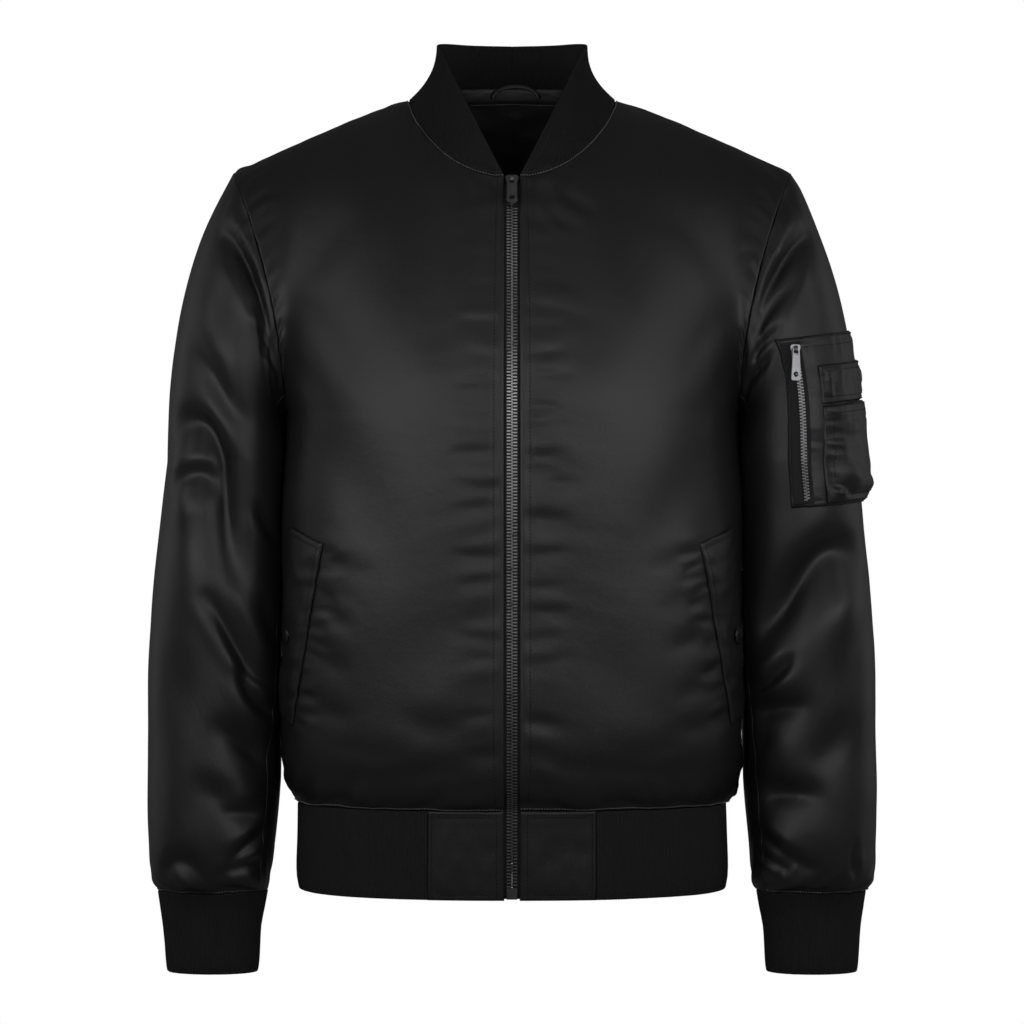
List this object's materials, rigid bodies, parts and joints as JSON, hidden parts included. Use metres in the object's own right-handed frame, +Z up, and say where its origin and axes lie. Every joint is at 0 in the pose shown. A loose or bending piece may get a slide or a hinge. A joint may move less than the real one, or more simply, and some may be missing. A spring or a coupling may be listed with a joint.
{
  "type": "bomber jacket",
  "caption": "Satin bomber jacket in its hollow worn form, zipped up, with rib-knit collar, cuffs and hem, slanted snap pockets, and a zip pocket and pen pocket on the left sleeve.",
  "frame": {"origin": "midway between the two points where the shoulder seams meet the collar, at the height of those points", "axes": "+Z up, -Y towards the front, +X towards the wearer's left"},
  "size_m": [0.6042, 0.2612, 0.7731],
  "materials": {
    "satin": "glossy black satin weave over light wadding",
    "rib_knit": "matte black rib knit",
    "lining": "smooth black lining cloth",
    "zip_tape": "matte black woven zip tape",
    "zip_metal": "softly shining gunmetal-coloured metal",
    "snap_metal": "glossy black lacquered metal"
  },
  "bodies": {
    "jacket": {"back": "satin", "back_lining": "lining", "collar": "rib_knit", "cuff_left": "rib_knit", "cuff_right": "rib_knit", "front_left": "satin", "front_right": "satin", "hanger_loop": "lining", "hem_rib": "rib_knit", "hem_tab_left": "satin", "hem_tab_right": "satin", "neck_binding": "lining", "pen_bag": "satin", "pen_flap": "satin", "pen_snap": "snap_metal", "pocket_flap_left": "satin", "pocket_flap_right": "satin", "pocket_snap_left": "snap_metal", "pocket_snap_right": "snap_metal", "sleeve_patch": "satin", "sleeve_top_left": "satin", "sleeve_top_right": "satin", "sleeve_under_left": "satin", "sleeve_under_right": "satin", "sleeve_zip_chain": "zip_metal", "sleeve_zip_slider": "zip_metal", "sleeve_zip_tape": "zip_tape", "zip_box": "zip_metal", "zip_chain": "zip_metal", "zip_slider": "zip_metal", "zip_stop_left": "zip_metal", "zip_stop_right": "zip_metal", "zip_tape_left": "zip_tape", "zip_tape_right": "zip_tape"},
    "front_pull": {"zip_pull": "zip_metal"},
    "sleeve_pull": {"sleeve_zip_pull": "zip_metal"}
  },
  "joints": [
    {"name": "front_pull_swing", "type": "hinge", "parent": "jacket", "child": "front_pull", "pos_m": [0, -0.09442, -0.07393], "axis": [-1, 0, 0], "range_deg": [0, 150]},
    {"name": "sleeve_pull_swing", "type": "hinge", "parent": "jacket", "child": "sleeve_pull", "pos_m": [0.22992, -0.07655, -0.21041], "axis": [-0.9892, -0.1468, 0], "range_deg": [0, 150]}
  ]
}
